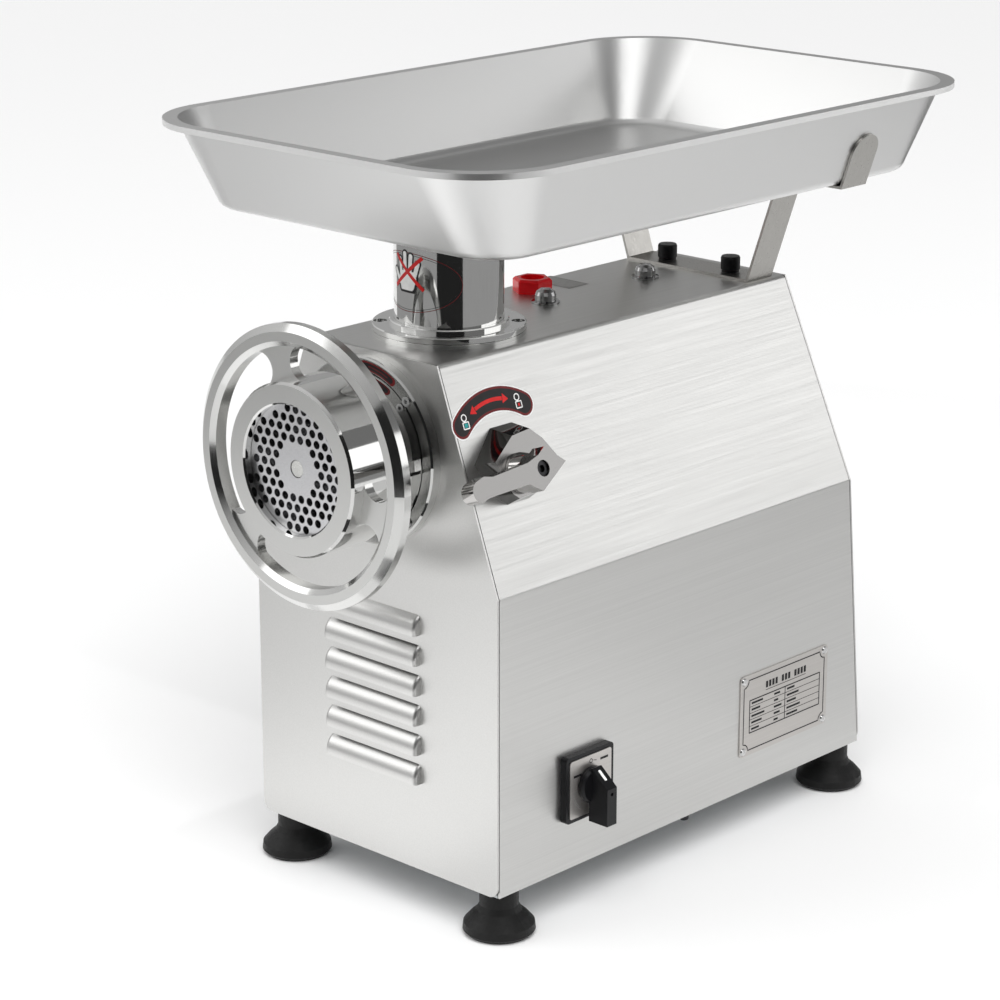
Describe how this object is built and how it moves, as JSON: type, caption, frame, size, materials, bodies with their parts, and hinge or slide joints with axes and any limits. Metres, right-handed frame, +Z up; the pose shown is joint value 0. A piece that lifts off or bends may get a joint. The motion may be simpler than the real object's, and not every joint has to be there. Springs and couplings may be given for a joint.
{
  "type": "electric meat grinder",
  "caption": "Countertop electric meat grinder: steel casing with motor and gear train, removable grinding head, hand wheel, feed neck and tray.",
  "frame": {"origin": "on the floor under the middle of the machine's outer box", "axes": "+Z up, -Y towards the outlet and hand wheel, +X towards the side with the switch and lock lever"},
  "size_m": [0.332, 0.534, 0.536],
  "materials": {
    "brushed_steel_sheet": "fine brushed stainless sheet",
    "galvanised_sheet": "galvanised sheet",
    "black_rubber": "matt black rubber",
    "polished_steel": "mirror-polished stainless steel",
    "satin_steel_strap": "satin stainless strap",
    "tray_steel": "satin deep-drawn stainless sheet",
    "red_plastic": "glossy red",
    "black_plastic": "fine-textured black",
    "label_metal": "etched aluminium plate",
    "zinc_screws": "zinc-plated",
    "cast_aluminium": "as-cast",
    "cast_iron_grey": "painted casting",
    "tool_steel": "ground steel",
    "tinned_screw": "tinned casting",
    "gear_steel": "oiled cut steel",
    "shaft_steel": "ground steel",
    "bronze_bush": "sintered bronze",
    "seal_rubber": "black",
    "stator_steel": "laminated electrical steel",
    "copper_winding": "enamelled copper",
    "white_plastic": "off-white"
  },
  "bodies": {
    "casing": {"base_plate": "galvanised_sheet", "bracket_bolts": "black_plastic", "cable_gland": "black_plastic", "capacitor": "white_plastic", "casing_cover": "brushed_steel_sheet", "dome_nuts": "polished_steel", "fan_cover": "galvanised_sheet", "feed_neck": "polished_steel", "flange_screws": "zinc_screws", "foot_screws": "zinc_screws", "front_flange": "polished_steel", "front_panel": "brushed_steel_sheet", "gearbox_cover": "cast_aluminium", "gearbox_housing": "cast_aluminium", "gearbox_screws": "zinc_screws", "head_seat": "cast_iron_grey", "idler_bearings": "shaft_steel", "lock_block": "polished_steel", "motor_bearings": "shaft_steel", "motor_cradle": "galvanised_sheet", "motor_end_bell": "cast_aluminium", "motor_housing": "cast_aluminium", "neck_collar": "polished_steel", "neck_screws": "zinc_screws", "oil_plug": "red_plastic", "output_bearings": "shaft_steel", "output_seal": "seal_rubber", "plate_rivets": "zinc_screws", "rating_plate": "label_metal", "rear_panel": "brushed_steel_sheet", "rubber_feet": "black_rubber", "stator_core": "stator_steel", "stator_windings": "copper_winding", "switch_base": "black_plastic", "switch_contact_block": "black_plastic", "switch_face_plate": "label_metal", "terminal_block": "black_plastic", "tray_bracket": "satin_steel_strap"},
    "drive_shaft": {"motor_shaft": "shaft_steel", "rotor_core": "stator_steel", "motor_pinion": "gear_steel", "cooling_fan": "white_plastic"},
    "idler": {"idler_shaft": "shaft_steel", "idler_gear": "gear_steel", "idler_pinion": "gear_steel"},
    "output": {"output_shaft": "shaft_steel", "output_gear": "gear_steel"},
    "head": {"head_barrel": "polished_steel", "barrel_bush": "bronze_bush", "plate_key_pin": "zinc_screws", "grinding_plate": "tool_steel"},
    "feed_screw": {"auger": "tinned_screw", "cutting_knife": "tool_steel"},
    "ring": {"ring_nut": "polished_steel", "hand_wheel": "polished_steel"},
    "lock": {"lock_shaft": "polished_steel", "lock_lever": "polished_steel", "lever_screw": "zinc_screws"},
    "knob": {"switch_knob": "black_plastic"},
    "tray": {"feed_tray": "tray_steel"}
  },
  "joints": [
    {"name": "motor_spin", "type": "hinge", "parent": "casing", "child": "drive_shaft", "pos_m": [0, 0.1, 0.189], "axis": [0, -1, 0], "continuous": true},
    {"name": "idler_spin", "type": "hinge", "parent": "casing", "child": "idler", "pos_m": [0, 0, 0.255], "axis": [0, -1, 0], "continuous": true},
    {"name": "output_spin", "type": "hinge", "parent": "casing", "child": "output", "pos_m": [0, 0, 0.325], "axis": [0, -1, 0], "continuous": true},
    {"name": "head_pull", "type": "slide", "parent": "casing", "child": "head", "axis": [0, -1, 0], "range_m": [0, 0.17]},
    {"name": "auger_spin", "type": "hinge", "parent": "head", "child": "feed_screw", "pos_m": [0, -0.15, 0.325], "axis": [0, -1, 0], "continuous": true},
    {"name": "ring_nut_turn", "type": "hinge", "parent": "head", "child": "ring", "pos_m": [0, -0.25, 0.325], "axis": [0, -1, 0], "range_deg": [0, 1080]},
    {"name": "lock_lever_turn", "type": "hinge", "parent": "casing", "child": "lock", "pos_m": [0.08873, -0.16, 0.316], "axis": [0.9394, 0, 0.3428], "range_deg": [-90, 0]},
    {"name": "switch_turn", "type": "hinge", "parent": "casing", "child": "knob", "pos_m": [0.115, -0.1065, 0.093], "axis": [1, 0, 0], "range_deg": [-60, 60]},
    {"name": "tray_lift", "type": "slide", "parent": "casing", "child": "tray", "axis": [0, 0, 1], "range_m": [0, 0.12]}
  ],
  "couplings": [
    {"joint": "idler_spin", "follows": "motor_spin", "ratio": -0.375},
    {"joint": "output_spin", "follows": "motor_spin", "ratio": 0.15},
    {"joint": "auger_spin", "follows": "motor_spin", "ratio": 0.15}
  ]
}
